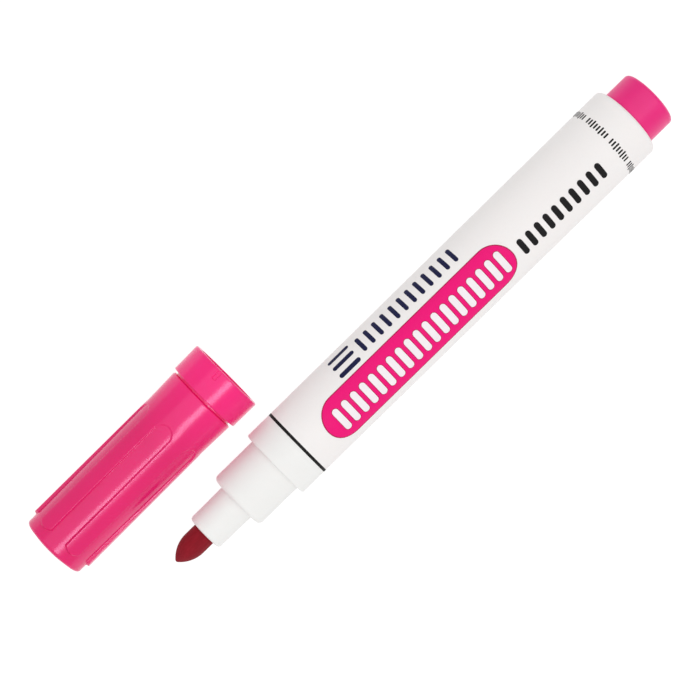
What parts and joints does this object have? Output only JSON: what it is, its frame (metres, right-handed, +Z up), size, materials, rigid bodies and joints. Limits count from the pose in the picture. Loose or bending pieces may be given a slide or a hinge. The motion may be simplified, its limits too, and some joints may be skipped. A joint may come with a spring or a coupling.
{
  "type": "whiteboard marker",
  "caption": "Whiteboard marker with a bullet nib, stepped white nose, tapered white barrel and pink end plug, and its fluted pink cap pulled off and lying beside the nose.",
  "frame": {"origin": "on the marker's axis, at the collar's shoulder where the cap's rim stops (the rear end of the cap seat)", "axes": "+X along the marker's axis from the nib towards the rear plug, +Z up from the table that the marker and its cap lie on, +Y towards the side that the cap lies on"},
  "size_m": [0.135, 0.0325, 0.0151],
  "materials": {
    "nib_fibre": "matte, ink-soaked pressed fibre",
    "white_nose": "satin",
    "white_barrel": "satin, with printed panels and bars",
    "ink_fibre": "matte",
    "wrap_film": "thin clear film",
    "pink_plug": "glossy, slightly translucent",
    "pink_cap": "glossy, slightly translucent",
    "pink_liner": "soft satin"
  },
  "bodies": {
    "marker": {"nib": "nib_fibre", "front_section": "white_nose", "barrel": "white_barrel", "reservoir_core": "ink_fibre", "reservoir_wrap": "wrap_film", "rear_plug": "pink_plug"},
    "cap": {"cap_shell": "pink_cap", "cap_liner": "pink_liner"}
  },
  "joints": [
    {"name": "cap_pull_off", "type": "slide", "parent": "marker", "child": "cap", "axis": [-1, -0.0087, 0], "range_m": [0, 0.035]}
  ]
}
